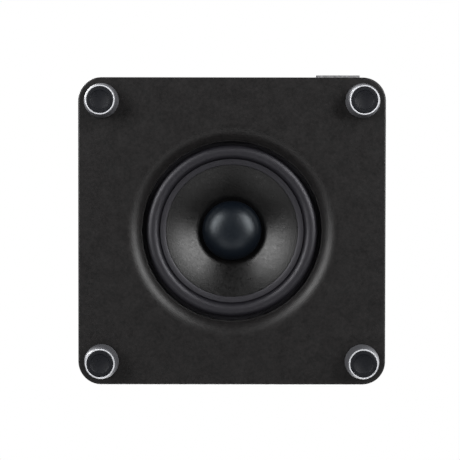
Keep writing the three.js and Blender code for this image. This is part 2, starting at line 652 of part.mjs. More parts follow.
function knob() {
  const low = PANEL_FACE + KNOB_CLEARANCE;
  const high = low + KNOB_HEIGHT;
  const hollow = 6.2;
  const body = turned([
    [0, -POT_DEPTH + 3.4], [SHAFT_RADIUS, -POT_DEPTH + 3.4], [SHAFT_RADIUS, BUSHING_TOP + 1.5],
    [hollow, BUSHING_TOP + 1.5], [hollow, low], [KNOB_RADIUS, low], [KNOB_RADIUS - 0.7, high - 1],
    [KNOB_RADIUS - 1.6, high], [0, high],
  ], 20);
  return cut(body, [block(1.2, 8, high - 0.8, high + 1, 0, 5)]);
}

function potentiometer() {
  const outer = 8.5;
  const bore = SHAFT_RADIUS + GAP;
  return turned([
    [0, -POT_DEPTH], [outer, -POT_DEPTH], [outer, PANEL_BACK - GAP], [BUSHING_RADIUS, PANEL_BACK - GAP],
    [BUSHING_RADIUS, BUSHING_TOP], [bore, BUSHING_TOP], [bore, -POT_DEPTH + 3], [0, -POT_DEPTH + 3],
  ], 16);
}

function lineJack() {
  const base = PANEL_FACE + GAP;
  const bore = 1.8;
  return turned([
    [0, -8], [JACK_TAIL_RADIUS, -8], [JACK_TAIL_RADIUS, base], [6.2, base], [6.2, base + 1.2],
    [4.2, base + 1.2], [4.2, base + 10], [bore, base + 10], [bore, base + 2], [0, base + 2],
  ], 16);
}

const PHASE_SWITCH_DEPTH = 7;

function phaseSwitchBody() {
  const top = PANEL_BACK - GAP;
  const channel = block(...PHASE_SLOT, -2.5, top + CUT_OVERRUN);
  return cut(block(24, 9, -PHASE_SWITCH_DEPTH, top), [channel]);
}

const ROCKER_PIVOT_Z = 1.5;
const BEZEL_THICKNESS = 1.6;

function rockerFrame() {
  const low = PANEL_FACE + GAP;
  const bezel = plate(roundedRect(17, 25, 1.5), low, low + BEZEL_THICKNESS, 3);
  const body = block(...ROCKER_BODY, -14, low + 0.5);
  const well = block(11.4, 19.8, -6, low + CUT_OVERRUN);
  return cut(join(bezel, [body]), [well]);
}

// The rocker's ends are arcs round its pivot, and its face is a shallow valley.
function powerRocker() {
  const width = 10.6;
  const radius = 9.3;
  const right = arcPoints(0, 0, radius, -12, 32, 4);
  const left = right.map(([y, z]) => [-y, z]).reverse();
  const outline = [...right, [0, 3.4], ...left].map(([y, z]) => new THREE.Vector2(y, z));
  const bar = plate(new THREE.Shape(outline), -width / 2, width / 2);
  const [xAxis, yAxis, zAxis] = [[0, 1, 0], [0, 0, 1], [1, 0, 0]].map((v) => new THREE.Vector3(...v));
  return bar.applyMatrix4(new THREE.Matrix4().makeBasis(xAxis, yAxis, zAxis));
}

// An appliance inlet with three flat pins; the two upper corners of its socket are cut off.
function powerInlet() {
  const low = PANEL_FACE + GAP;
  const [socketWidth, socketHeight, chamfer] = [24, 16.4, 4];
  const [w, h] = [socketWidth / 2, socketHeight / 2];
  const corners = [
    [-w, -h], [w, -h], [w, h - chamfer], [w - chamfer, h], [chamfer - w, h], [-w, h - chamfer],
  ];
  const socket = new THREE.Shape(corners.map(([x, y]) => new THREE.Vector2(x, y)));
  const floor = low + 1.8 - 15;
  const flange = plate(roundedRect(31, 24, 2), low, low + 1.8, 3);
  const housing = join(flange, [block(...INLET_BODY, -18, low + 0.5)]);
  const hollow = cut(housing, [plate(socket, floor, low + CUT_OVERRUN)]);
  const pins = [[-7, -2.2], [7, -2.2], [0, 2.4]].map(([x, y]) => block(2, 4, floor - 1, floor + 12, x, y));
  return join(hollow, pins);
}

function heatSink() {
  const [width, length, base, fin, fins] = [56, 60, 5, 2, 8];
  const top = PANEL_BACK - GAP;
  const pitch = (width - fin) / (fins - 1);
  const tools = [];
  for (let i = 0; i < fins - 1; i++) {
    const middle = -width / 2 + fin / 2 + pitch * (i + 0.5);
    tools.push(block(pitch - fin, length + CUT_OVERRUN, -24 - CUT_OVERRUN, top - base, middle));
  }
  return cut(block(width, length, -24, top), tools);
}

function amplifierBoard() {
  const [front, back] = [-14, -15.6];
  const parts = [
    rod(9, -40, back + 0.5, 14).translate(-62, 20, 0), rod(9, -40, back + 0.5, 14).translate(-40, 20, 0),
    rod(11, -32, back + 0.5, 16).translate(48, 18, 0), block(20, 20, -18, back + 0.5, 8, 10),
  ];
  return join(block(170, 76, back, front), parts);
}

function transformer() {
  return turned([
    [9, -34], [31, -34], [34, -31], [34, -4], [31, -1], [9, -1],
  ], 24);
}

addMesh(panel, 'amp_gasket', amplifierGasket(), FOAM);
addMesh(panel, 'amp_plate', amplifierPlate(), PANEL_FINISH);
PANEL_CORNER_SCREWS.forEach(([x, y], i) => {
  const seat = PANEL_FACE + GAP;
  const length = seat + PANEL_SCREW_LENGTH - 2;
  const shape = panScrew(3.6, 1.3, WOOD_SCREW_RADIUS, length);
  const screw = addMesh(panel, `amp_screw_${i + 1}`, shape, BLACK_STEEL);
  screw.position.set(x, y, seat);
});

for (const [label, x] of [['gain', GAIN_X], ['crossover', CROSSOVER_X]]) {
  addMesh(panel, `${label}_knob`, knob(), BLACK_PLASTIC).position.set(x, KNOB_Y, 0);
  addMesh(panel, `${label}_pot`, potentiometer(), STEEL).position.set(x, KNOB_Y, 0);
}
JACK_X.forEach((x, i) => {
  addMesh(panel, `line_in_jack_${i + 1}`, lineJack(), GOLD).position.set(x, JACK_Y, 0);
});

addMesh(panel, 'phase_switch_body', phaseSwitchBody(), STEEL).position.set(PHASE_X, KNOB_Y, 0);
const phaseSlider = block(...PHASE_KNOB, -2.1, PANEL_FACE + 3.2);
const phaseAtRest = PHASE_X + PHASE_TRAVEL / 2;
addMesh(panel, 'phase_slider', phaseSlider, BLACK_PLASTIC).position.set(phaseAtRest, KNOB_Y, 0);

addMesh(panel, 'rocker_frame', rockerFrame(), BLACK_PLASTIC).position.set(ROCKER_X, POWER_Y, 0);
const rocker = addMesh(panel, 'power_rocker', powerRocker(), BLACK_PLASTIC);
rocker.position.set(ROCKER_X, POWER_Y, ROCKER_PIVOT_Z);
rocker.rotation.x = THREE.MathUtils.degToRad(-POWER_TILT);

addMesh(panel, 'power_inlet', powerInlet(), BLACK_PLASTIC).position.set(INLET_X, POWER_Y, 0);
const lens = rod(LENS_RADIUS, -6, PANEL_FACE + 1.2, 10);
addMesh(panel, 'status_lens', lens, LENS).position.set(LENS_X, POWER_Y, 0);

addMesh(panel, 'heat_sink', heatSink(), ALUMINIUM).position.set(-54, -24, 0);
addMesh(panel, 'transformer', transformer(), WINDING_TAPE).position.set(42, -24, 0);
addMesh(panel, 'amp_board', amplifierBoard(), RESIN_BOARD).position.set(0, 53, 0);

export default group;
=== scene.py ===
"""The looks of a compact down-firing subwoofer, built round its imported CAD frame.

Shapes are described in millimetres and turned into metres as each mesh is made. Most round
pieces are rings of points joined into a skin; the back panel's pieces are described in the
panel's own frame, with x to the right and y up as seen from behind, and z outwards.
"""

import json
import math

import bmesh
import bpy
import numpy as np
from mathutils import Matrix, Vector


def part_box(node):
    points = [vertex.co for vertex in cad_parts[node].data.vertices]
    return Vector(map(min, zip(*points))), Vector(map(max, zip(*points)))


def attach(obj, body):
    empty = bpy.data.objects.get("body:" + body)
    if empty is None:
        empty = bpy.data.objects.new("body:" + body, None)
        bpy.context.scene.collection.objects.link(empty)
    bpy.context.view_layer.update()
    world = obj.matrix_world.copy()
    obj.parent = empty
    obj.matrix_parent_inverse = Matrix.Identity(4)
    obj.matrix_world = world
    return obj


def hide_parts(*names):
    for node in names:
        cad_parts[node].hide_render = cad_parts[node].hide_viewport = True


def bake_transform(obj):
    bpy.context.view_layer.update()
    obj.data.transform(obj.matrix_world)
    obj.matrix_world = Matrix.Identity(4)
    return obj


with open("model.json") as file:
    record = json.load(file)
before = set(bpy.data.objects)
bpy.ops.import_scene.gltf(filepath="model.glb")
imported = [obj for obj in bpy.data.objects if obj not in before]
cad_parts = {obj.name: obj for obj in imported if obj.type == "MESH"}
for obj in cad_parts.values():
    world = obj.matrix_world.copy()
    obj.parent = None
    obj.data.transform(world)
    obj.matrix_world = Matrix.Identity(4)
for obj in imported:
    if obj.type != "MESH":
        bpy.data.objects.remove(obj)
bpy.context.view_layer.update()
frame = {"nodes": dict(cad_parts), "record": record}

MM = 0.001
PER_METRE = 1000.0  # millimetres
RECORD = frame["record"]
SLOT_OF = {part["node"]: part["material_slot"] for part in RECORD["subparts"]}
BODY_OF = {node: body for body, nodes in RECORD["behaviour"]["bodies"].items() for node in nodes}


# ------------------------------------------------------------------ sizes from the frame

def low_mm(node):
    return Vector(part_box(node)[0]) / MM


def high_mm(node):
    return Vector(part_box(node)[1]) / MM


def middle_mm(node):
    return (low_mm(node) + high_mm(node)) / 2


FACE_Z = low_mm("bottom_baffle").z
INNER_Z = high_mm("bottom_baffle").z
TOP_Z = high_mm("cabinet_shell").z
HALF = (high_mm("bottom_baffle").x - low_mm("bottom_baffle").x) / 2
CENTRE_Y = middle_mm("bottom_baffle").y
REAR_Y = CENTRE_Y + HALF
FRONT_Y = CENTRE_Y - HALF
PANEL_WIDTH = high_mm("amp_plate").x - low_mm("amp_plate").x
PANEL_HEIGHT = high_mm("amp_plate").z - low_mm("amp_plate").z
PANEL_CENTRE_Z = middle_mm("amp_plate").z
PANEL_BACK = low_mm("amp_plate").y - REAR_Y
PANEL_FACE = high_mm("amp_plate").y - REAR_Y
FLANGE_Z = low_mm("driver_basket").z
LIP_SEAT_Z = FLANGE_Z + 9

EDGE_RADIUS = 20.5  # of the cabinet's upright edges
WALL = 18
FACE_RADIUS = 94  # where the opening's lip starts on the underside
THROAT_RADIUS = 79.3
LIP_RADIUS = 16.5
LIP_STRETCH = 1.1  # the lip is this many times as wide as a round one
SHELF_WIDTH = 0.95
SHELF_DEPTH = 2.4
REBATE_WIDTH = 11.6
REBATE_DEPTH = 5
CONE_RADIUS = 58.5
CONE_RIM_SLOPE = 0.26
CONE_CURVE = 0.0042
FORMER_SEAT = 18.0  # where the cone and the spider meet the coil's former
ROLL_INNER = 64.2
ROLL_OUTER = 75.8
ROLL_HEIGHT = 4.1
CAP_RADIUS = 26.4
CAP_HEIGHT = 15.5
CAP_FULLNESS = 2.3  # 2 makes an ellipse, more makes it boxier


# ------------------------------------------------------------------ meshes

SMOOTH_ANGLE = 32  # degrees; faces that meet at less than this are shaded as one
RIM_ANGLE = math.radians(50)  # edges sharper than this take a bevel
SAME_POINT = 1e-7  # metres
ON_AXIS = 1e-3  # the radius that stands for none
# Half a corner's angle. A corner past either limit isn't rounded.
NEARLY_STRAIGHT = math.radians(89)
NEARLY_FOLDED = math.radians(3)
CORNER_SHARE = 0.48  # how much of a side one rounded corner may take


def make_piece(name, vertices, faces, smooth_angle=SMOOTH_ANGLE):
    """A mesh object from points in millimetres, with its faces turned outwards."""
    mesh = bpy.data.meshes.new(name)
    mesh.from_pydata([tuple(np.array(v, float) * MM) for v in vertices], [], faces)
    piece = bpy.data.objects.new(name, mesh)
    bpy.context.scene.collection.objects.link(piece)
    tidy_mesh(piece, smooth_angle)
    return piece


def tidy_mesh(piece, smooth_angle=SMOOTH_ANGLE):
    """Joins doubled points, turns the faces outwards and shades all but the sharp edges smooth."""
    bm = bmesh.new()
    bm.from_mesh(piece.data)
    bmesh.ops.remove_doubles(bm, verts=bm.verts, dist=SAME_POINT)
    bmesh.ops.recalc_face_normals(bm, faces=bm.faces)
    bm.to_mesh(piece.data)
    bm.free()
    piece.data.shade_smooth()
    piece.data.set_sharp_from_angle(angle=math.radians(smooth_angle))


def skin(name, rings, closed=False, smooth_angle=SMOOTH_ANGLE):
    """Joins rings of points into a skin. Unless it closes on itself, each end is capped."""
    count = len(rings[0])
    vertices = [point for ring in rings for point in ring]
    faces = []
    pairs = list(zip(range(len(rings) - 1), range(1, len(rings))))
    if closed:
        pairs.append((len(rings) - 1, 0))
    for a, b in pairs:
        for i in range(count):
            j = (i + 1) % count
            faces.append((a * count + i, a * count + j, b * count + j, b * count + i))
    if not closed:
        last = (len(rings) - 1) * count
        faces.append(tuple(range(count)))
        faces.append(tuple(last + i for i in range(count)))
    return make_piece(name, vertices, faces, smooth_angle)


def circle(radius, z, count, centre=(0, 0)):
    turn = np.arange(count) * 2 * math.pi / count
    radius = max(radius, ON_AXIS)
    return np.stack([centre[0] + radius * np.cos(turn), centre[1] + radius * np.sin(turn),
                     np.full(count, float(z))], axis=1)


def soften(profile, radius, steps=4, closed=True):
    """Rounds the corners of an outline. A point may carry its own radius as a third number."""
    points = [Vector(p[:2]) for p in profile]
    result = []
    count = len(points)
    for i, point in enumerate(points):
        wanted = profile[i][2] if len(profile[i]) > 2 else radius
        at_end = not closed and i in (0, count - 1)
        before, after = points[i - 1] - point, points[(i + 1) % count] - point
        if at_end or wanted <= 0 or before.length < 1e-9 or after.length < 1e-9:
            result.append(tuple(point))
            continue
        half_angle = before.angle(after) / 2
        if not NEARLY_FOLDED <= half_angle <= NEARLY_STRAIGHT:
            result.append(tuple(point))
            continue
        reach = min(wanted / math.tan(half_angle), CORNER_SHARE * before.length,
                    CORNER_SHARE * after.length)
        actual = reach * math.tan(half_angle)
        centre = point + (before.normalized() + after.normalized()).normalized() * (
            actual / math.sin(half_angle))
        start = point + before.normalized() * reach - centre
        end = point + after.normalized() * reach - centre
        for k in range(steps + 1):
            mixed = start.lerp(end, k / steps)
            result.append(tuple(centre + mixed.normalized() * actual))
    return result


def turned(name, profile, count, rounding, centre=(0, 0), smooth_angle=SMOOTH_ANGLE):
    """A turned piece from a [radius, z] outline, which starts and ends on the axis or closes."""
    on_axis = profile[0][0] == 0 and profile[-1][0] == 0
    outline = soften(profile, rounding, closed=not on_axis)
    rings = [circle(radius, z, count, centre) for radius, z in outline]
    return skin(name, rings, closed=not on_axis, smooth_angle=smooth_angle)


def arc(centre, radius, start, end, steps):
    turn = np.radians(np.linspace(start, end, steps + 1))
    return [(centre[0] + radius * math.cos(t), centre[1] + radius * math.sin(t)) for t in turn]


def rounded_square_ring(half, radius, z, angles):
    """Points where rays from the middle meet a square with rounded corners."""
    ring = []
    for turn in angles:
        c, s = math.cos(turn), math.sin(turn)
        a, b = max(abs(c), abs(s)), min(abs(c), abs(s))
        inner = half - radius
        reach = half / a
        if reach * b > inner:
            along = inner * (a + b)
            reach = along + math.sqrt(max(along**2 - 2 * inner**2 + radius**2, 0))
        ring.append((reach * c, reach * s + CENTRE_Y, z))
    return np.array(ring)


def outline_rect(width, height, radius, steps=8):
    corners = [(-1, -1), (1, -1), (1, 1), (-1, 1)]
    return soften([(x * width / 2, y * height / 2) for x, y in corners], radius, steps)


def shift(piece, x=0.0, y=0.0, z=0.0):
    piece.data.transform(Matrix.Translation(Vector((x, y, z)) * MM))
    return piece


def round_rims(piece, bevel, segments):
    bm = bmesh.new()
    bm.from_mesh(piece.data)
    rims = [edge for edge in bm.edges if edge.calc_face_angle(0) > RIM_ANGLE]
    bmesh.ops.bevel(bm, geom=rims, offset=bevel * MM, segments=segments, affect="EDGES",
                    profile=0.5, clamp_overlap=True)
    bm.to_mesh(piece.data)
    bm.free()
    tidy_mesh(piece)


def prism(name, outline, low, high, bevel, bevel_segments=3):
    """An outline pulled from z = low to z = high, with its rims rounded."""
    count = len(outline)
    vertices = [(x, y, low) for x, y in outline] + [(x, y, high) for x, y in outline]
    faces = [tuple(range(count - 1, -1, -1)), tuple(range(count, 2 * count))]
    faces += [(i, (i + 1) % count, count + (i + 1) % count, count + i) for i in range(count)]
    piece = make_piece(name, vertices, faces)
    if bevel:
        round_rims(piece, bevel, bevel_segments)
    return piece


def box_piece(name, size, centre, bevel, bevel_segments=3):
    width, depth, height = size
    x, y, z = centre
    piece = prism(name, outline_rect(width, depth, 0), z - height / 2, z + height / 2, bevel, bevel_segments)
    return shift(piece, x, y)


def bake(piece):
    """Gives the piece the mesh that its modifiers make."""
    bpy.context.view_layer.update()
    depsgraph = bpy.context.evaluated_depsgraph_get()
    mesh = bpy.data.meshes.new_from_object(piece.evaluated_get(depsgraph))
    piece.modifiers.clear()
    piece.data = mesh
    return piece


def level(piece):
    """Shades large flat faces as flat, right up to their rounded edges."""
    modifier = piece.modifiers.new("level", "WEIGHTED_NORMAL")
    modifier.keep_sharp = True
    modifier.weight = 100
    return bake(piece)


def carve(piece, cutters, operation="DIFFERENCE"):
    """Cuts the cutters out of the piece, or joins them to it, and removes them."""
    for cutter in cutters:
        modifier = piece.modifiers.new("carve", "BOOLEAN")
        modifier.object = cutter
        modifier.operation = operation
        modifier.solver = "EXACT"
    bake(piece)
    for cutter in cutters:
        bpy.data.objects.remove(cutter)
    tidy_mesh(piece)
    return piece


def merge(pieces):
    """One mesh object holding several pieces' solids."""
    bm = bmesh.new()
    for piece in pieces:
        bm.from_mesh(piece.data)
    bm.to_mesh(pieces[0].data)
    bm.free()
    for piece in pieces[1:]:
        bpy.data.objects.remove(piece)
    tidy_mesh(pieces[0])
    return pieces[0]


# ------------------------------------------------------------------ materials

NOISE_LOW, NOISE_HIGH = 0.3, 0.7  # most of a noise lies between these
NEUTRAL = (1, 1, 1)


def set_inputs(node, values):
    for socket, value in values.items():
        node.inputs[socket].default_value = value


class Finish:
    """Builds one procedural material: a Principled shader with noise in colour, gloss and relief."""

    def __init__(self, name, color, roughness, metallic=0.0, specular=0.5, sheen=0.0,
                 specular_tint=NEUTRAL):
        self.material = bpy.data.materials.new(name)
        self.material.use_nodes = True
        self.tree = self.material.node_tree
        self.shader = self.tree.nodes["Principled BSDF"]
        self.color = color
        self.roughness = roughness
        set_inputs(self.shader, {
            "Base Color": (*color, 1), "Roughness": roughness, "Metallic": metallic,
            "Specular IOR Level": specular, "Specular Tint": (*specular_tint, 1), "Sheen Weight": sheen,
        })
        self.place = self.node("ShaderNodeTexCoord")
        self.height = None

    def node(self, kind, **inputs):
        made = self.tree.nodes.new(kind)
        set_inputs(made, inputs)
        return made

    def link(self, output, target):
        self.tree.links.new(output, target)

    def stretched(self, scale):
        """Object coordinates, scaled differently along each axis."""
        mapping = self.node("ShaderNodeMapping", Scale=scale)
        self.link(self.place.outputs["Object"], mapping.inputs["Vector"])
        return mapping.outputs["Vector"]

    def noise(self, size_mm, detail=4.0, rough=0.55, vector=None, distortion=0.0):
        made = self.node("ShaderNodeTexNoise", Scale=PER_METRE / size_mm, Detail=detail,
                         Roughness=rough, Distortion=distortion)
        self.link(vector or self.place.outputs["Object"], made.inputs["Vector"])
        return made.outputs["Fac"]

    def cells(self, size_mm):
        made = self.node("ShaderNodeTexVoronoi", Scale=PER_METRE / size_mm)
        self.link(self.place.outputs["Object"], made.inputs["Vector"])
        return made.outputs["Distance"]

    def ramp(self, value, low, high):
        """Spreads a noise over the range from low to high."""
        made = self.node("ShaderNodeMapRange")
        set_inputs(made, {"From Min": NOISE_LOW, "From Max": NOISE_HIGH, "To Min": low, "To Max": high})
        self.link(value, made.inputs["Value"])
        return made.outputs["Result"]

    def mottle(self, value, amount, tint=None):
        """Varies the colour between darker and lighter by this share."""
        mix = self.node("ShaderNodeMix")
        mix.data_type = "RGBA"
        light = tint or self.color
        ends = {"A": [c * (1 - amount) for c in self.color], "B": [c * (1 + amount) for c in light]}
        for mixed in mix.inputs:
            if mixed.name in ends and mixed.type == "RGBA":
                mixed.default_value = (*ends[mixed.name], 1)
        self.link(self.ramp(value, 0.0, 1.0), mix.inputs["Factor"])
        result = next(o for o in mix.outputs if o.type == "RGBA")
        self.link(result, self.shader.inputs["Base Color"])
        return self

    def polish(self, value, spread):
        """Varies the roughness by this much either way."""
        low, high = max(self.roughness - spread, 0.02), min(self.roughness + spread, 1.0)
        self.link(self.ramp(value, low, high), self.shader.inputs["Roughness"])
        return self

    def relief(self, value, depth_mm, strength):
        """Adds fine surface relief of this depth, on top of any relief added before."""
        bump = self.node("ShaderNodeBump", Distance=depth_mm * MM, Strength=strength)
        self.link(value, bump.inputs["Height"])
        if self.height:
            self.link(self.height, bump.inputs["Normal"])
        self.height = bump.outputs["Normal"]
        self.link(self.height, self.shader.inputs["Normal"])
        return self


def slot_color(slot):
    return next(m for m in RECORD["materials"] if m["slot"] == slot)["base_color"][:3]


def cabinet_finish():
    """Black textured wrap: a fine grain, faint brownish speckle and broad cloudy patches."""
    made = Finish("cabinet_wrap", (0.0042, 0.0040, 0.0040), 0.4, specular=0.45)
    made.mottle(made.noise(2.6, detail=5, rough=0.65), 0.7, tint=(0.0076, 0.0066, 0.0067))
    made.polish(made.noise(12.0, detail=4), 0.03)
    made.relief(made.noise(2.0, detail=5, rough=0.7), 0.09, 0.6)
    made.relief(made.cells(0.9), 0.02, 0.3)
    return made


def paper_finish():
    """Pressed pulp: short tangled fibres that stand up from the surface and catch the light."""
    made = Finish("cone_paper", (0.0012, 0.0011, 0.0013), 0.33, specular=0.45)
    fibres = made.noise(1.7, detail=3, rough=0.6, distortion=0.6)
    made.mottle(fibres, 0.8, tint=(0.0030, 0.0028, 0.0028))
    made.polish(made.noise(3.0, detail=5), 0.06)
    made.relief(fibres, 0.08, 1.0)
    made.relief(made.noise(0.7, detail=4), 0.05, 0.6)
    return made


def rubber_finish(name, roughness, color, specular, grain_mm=0.5, specular_tint=NEUTRAL):
    made = Finish(name, color, roughness, specular=specular, specular_tint=specular_tint)
    made.mottle(made.noise(4.0, detail=5), 0.12)
    made.polish(made.noise(2.0, detail=4), 0.06)
    made.relief(made.noise(grain_mm, detail=3), 0.012, 0.4)
    return made


def plastic_finish(name, roughness, grain_mm=0.6, depth_mm=0.01, specular=0.5, color=None,
                   specular_tint=NEUTRAL):
    made = Finish(name, color or slot_color(name), roughness, specular=specular,
                  specular_tint=specular_tint)
    made.mottle(made.noise(6.0, detail=4), 0.08)
    made.polish(made.noise(1.5, detail=4), 0.05)
    made.relief(made.noise(grain_mm, detail=4), depth_mm, 0.5)
    return made


def metal_finish(name, roughness, color=None, grain=(1, 1, 1), grain_mm=0.4, depth_mm=0.008):
    """Metal with a noise that the grain's scales draw out into lines."""
    made = Finish(name, color or slot_color(name), roughness, metallic=1.0)
    lines = made.noise(grain_mm, detail=4, vector=made.stretched(grain))
    made.mottle(lines, 0.10)
    made.polish(lines, 0.08)
    made.relief(lines, depth_mm, 0.5)
    return made


def cloth_finish(name, weave_mm):
    made = Finish(name, slot_color(name), 0.9, specular=0.2, sheen=0.3)
    threads = made.cells(weave_mm)
    made.mottle(threads, 0.2)
    made.relief(threads, 0.1, 0.6)
    return made


def plain_finish(name, color, roughness, metallic=0.0):
    made = Finish(name, color, roughness, metallic=metallic)
    made.mottle(made.noise(2.0), 0.06)
    made.polish(made.noise(1.0), 0.04)
    return made


# The looks of the photographed pieces are matched to the photograph. The rest use the CAD's colours.
MATERIALS = {
    "cabinet_wrap": cabinet_finish(),
    "foot_shell": plastic_finish("foot_shell", 0.5, 0.3, 0.006, color=(0.132, 0.134, 0.147)),
    "bright_ring": metal_finish("bright_ring", 0.62, (0.80, 0.81, 0.84), grain_mm=2.0, depth_mm=0.002),
    "foot_rubber": rubber_finish("foot_rubber", 0.52, (0.0020, 0.0028, 0.0056), 0.3, grain_mm=0.4),
    "surround_rubber": rubber_finish("surround_rubber", 0.45, (0.0095, 0.0090, 0.0120), 0.57,
                                     specular_tint=(0.95, 0.94, 1.0)),
    "cone_paper": paper_finish(),
    "cap_skin": plastic_finish("cap_skin", 0.37, 0.5, 0.004, color=(0.0020, 0.0042, 0.0080),
                               specular_tint=(0.88, 0.95, 1.0)),
    "spider_cloth": cloth_finish("spider_cloth", 0.7),
    "former_film": plastic_finish("former_film", 0.35),
    "coil_copper": metal_finish("coil_copper", 0.3, grain=(1, 1, 40), grain_mm=8),
    "zinc_steel": metal_finish("zinc_steel", 0.35),
    "basket_steel": plastic_finish("basket_steel", 0.45, 0.8, 0.02),
    "ferrite": plastic_finish("ferrite", 0.6, 0.3, 0.02),
    "black_screw": metal_finish("black_screw", 0.4),
    "gasket_foam": plastic_finish("gasket_foam", 0.95, 0.5, 0.2, 0.1),
    "wadding": cloth_finish("wadding", 3.0),
    "badge_metal": metal_finish("badge_metal", 0.45, (0.40, 0.40, 0.41), grain=(1, 1, 30), grain_mm=3),
    "panel_paint": plastic_finish("panel_paint", 0.5, 0.45, 0.03),
    "control_plastic": plastic_finish("control_plastic", 0.42, 0.5, 0.01),
    "jack_metal": metal_finish("jack_metal", 0.22),
    "tag_board": plastic_finish("tag_board", 0.6),
    "heat_sink_metal": metal_finish("heat_sink_metal", 0.4, grain=(1, 1, 0.05)),
    "circuit_board": plastic_finish("circuit_board", 0.4),
    "transformer_tape": plastic_finish("transformer_tape", 0.5),
    "lens": plastic_finish("lens", 0.12),
    "cable_jacket": plastic_finish("cable_jacket", 0.5),
    "lead_braid": metal_finish("lead_braid", 0.4, grain_mm=0.3, depth_mm=0.05),
}


PRINT = plain_finish("panel_print", (0.55, 0.55, 0.55), 0.6)
RED_INSERT = plain_finish("red_insert", (0.42, 0.012, 0.010), 0.35)
WHITE_INSERT = plain_finish("white_insert", (0.62, 0.62, 0.60), 0.35)
PIN_METAL = plain_finish("pin_metal", (0.62, 0.62, 0.60), 0.25, 1.0)


def dress(piece, finish, body):
    """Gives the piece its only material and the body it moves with."""
    piece.data.materials.clear()
    piece.data.materials.append(finish.material)
    if body:
        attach(piece, body)
    return piece


def stand_for(piece, *nodes, ride=True):
    """The piece replaces these CAD nodes, with their finish and on their body."""
    slot = SLOT_OF[nodes[0]]
    dress(piece, MATERIALS[slot], BODY_OF[nodes[0]] if ride else None)
    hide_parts(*nodes)
    return piece


for node, cad_piece in frame["nodes"].items():
    cad_piece.data.materials.clear()
    cad_piece.data.materials.append(MATERIALS[SLOT_OF[node]].material)


# ------------------------------------------------------------------ camera

# The photograph's view, straight up at the underside.
CAMERA_PLACE = (-3.9, CENTRE_Y - 50.2, FACE_Z - 1628.7)
CAMERA_AIM = (-1.7, CENTRE_Y - 1.2, FACE_Z)
CAMERA_UP = (-0.0014, -1, 0)
CAMERA_LENS = 145.3
CAMERA_SENSOR = 36


def aim(thing, place, target, up):
    """Points an object's -Z at the target with its +Y towards up."""
    back = (Vector(place) - Vector(target)).normalized()
    right = Vector(up).cross(back).normalized()
    rotation = Matrix((right, back.cross(right), back)).transposed()
    thing.matrix_world = Matrix.Translation(Vector(place) * MM) @ rotation.to_4x4()


camera = bpy.data.objects.new("camera", bpy.data.cameras.new("camera"))
bpy.context.scene.collection.objects.link(camera)
camera.data.lens = CAMERA_LENS
camera.data.sensor_width = CAMERA_SENSOR
camera.data.clip_start, camera.data.clip_end = 0.01, 50
aim(camera, CAMERA_PLACE, CAMERA_AIM, CAMERA_UP)
bpy.context.scene.camera = camera


# ------------------------------------------------------------------ cabinet

CABINET_TURNS = np.radians(np.arange(0, 360, 0.75))
LOWER_EDGE = 1.4
UPPER_EDGE = 3.0
EDGE_STEPS = 6
LIP_STEPS = 20


def cabinet_ring(inset, z):
    return rounded_square_ring(HALF - inset, max(EDGE_RADIUS - inset, 0.5), z, CABINET_TURNS)


def circle_ring(radius, z):
    return np.stack([radius * np.cos(CABINET_TURNS), CENTRE_Y + radius * np.sin(CABINET_TURNS),
                     np.full(len(CABINET_TURNS), float(z))], axis=1)


def rounded_edge_rings(z, radius, direction):
    """Rings round an outer edge at height z, from the flat face to the wall."""
    rings = []
    for k in range(EDGE_STEPS + 1):
        turn = math.pi / 2 * k / EDGE_STEPS
        rise = direction * radius * (1 - math.cos(turn))
        rings.append(cabinet_ring(radius * (1 - math.sin(turn)), z + rise))
    return rings


def bottom_baffle():
    """The opening's lip ends in a narrow shelf, and the woofer's flange lies in a rebate behind it."""
    shelf = THROAT_RADIUS + SHELF_WIDTH
    reach = math.degrees(math.asin((FACE_RADIUS - shelf) / (LIP_RADIUS * LIP_STRETCH)))
    round_lip = arc((0, FACE_Z + LIP_RADIUS), LIP_RADIUS, 270 - reach, 270, LIP_STEPS)
    lip = [(FACE_RADIUS + LIP_STRETCH * x, z) for x, z in round_lip]
    step = lip[0][1] + SHELF_DEPTH
    rebate_radius, rebate_z = THROAT_RADIUS + REBATE_WIDTH, INNER_Z - REBATE_DEPTH
    profile = [
        (rebate_radius, INNER_Z), (rebate_radius, rebate_z), (THROAT_RADIUS, rebate_z),
        (THROAT_RADIUS, step + 0.5), (THROAT_RADIUS + 0.15, step + 0.1), (THROAT_RADIUS + 0.4, step),
        (shelf - 0.15, step), (shelf, step - 0.2), *lip, (FACE_RADIUS + 0.6, FACE_Z),
    ]
    rings = [circle_ring(r, z) for r, z in profile]
    rings.append(cabinet_ring(LOWER_EDGE + 0.8, FACE_Z))
    rings += rounded_edge_rings(FACE_Z, LOWER_EDGE, 1)
    rings += [cabinet_ring(0, INNER_Z), cabinet_ring(WALL + 2, INNER_Z)]
    return skin("bottom_baffle_fine", rings, closed=True)


def cabinet_shell():
    """Walls and top in one, with the back panel's opening."""
    inner_top = TOP_Z - WALL
    rings = [circle_ring(ON_AXIS, TOP_Z), cabinet_ring(UPPER_EDGE + 1, TOP_Z)]
    rings += rounded_edge_rings(TOP_Z, UPPER_EDGE, -1)
    rings += [cabinet_ring(0, INNER_Z), cabinet_ring(WALL, INNER_Z), cabinet_ring(WALL, inner_top)]
    rings.append(circle_ring(ON_AXIS, inner_top))
    shell = skin("cabinet_shell_fine", rings)
    border, overrun = 8, 13
    opening = (PANEL_WIDTH - 2 * border, WALL + 2 * overrun, PANEL_HEIGHT - 2 * border)
    cutout = box_piece("cutout", opening, (0, REAR_Y - WALL / 2, PANEL_CENTRE_Z), 0)
    return carve(shell, [cutout])


stand_for(level(bottom_baffle()), "bottom_baffle")
stand_for(level(cabinet_shell()), "cabinet_shell")


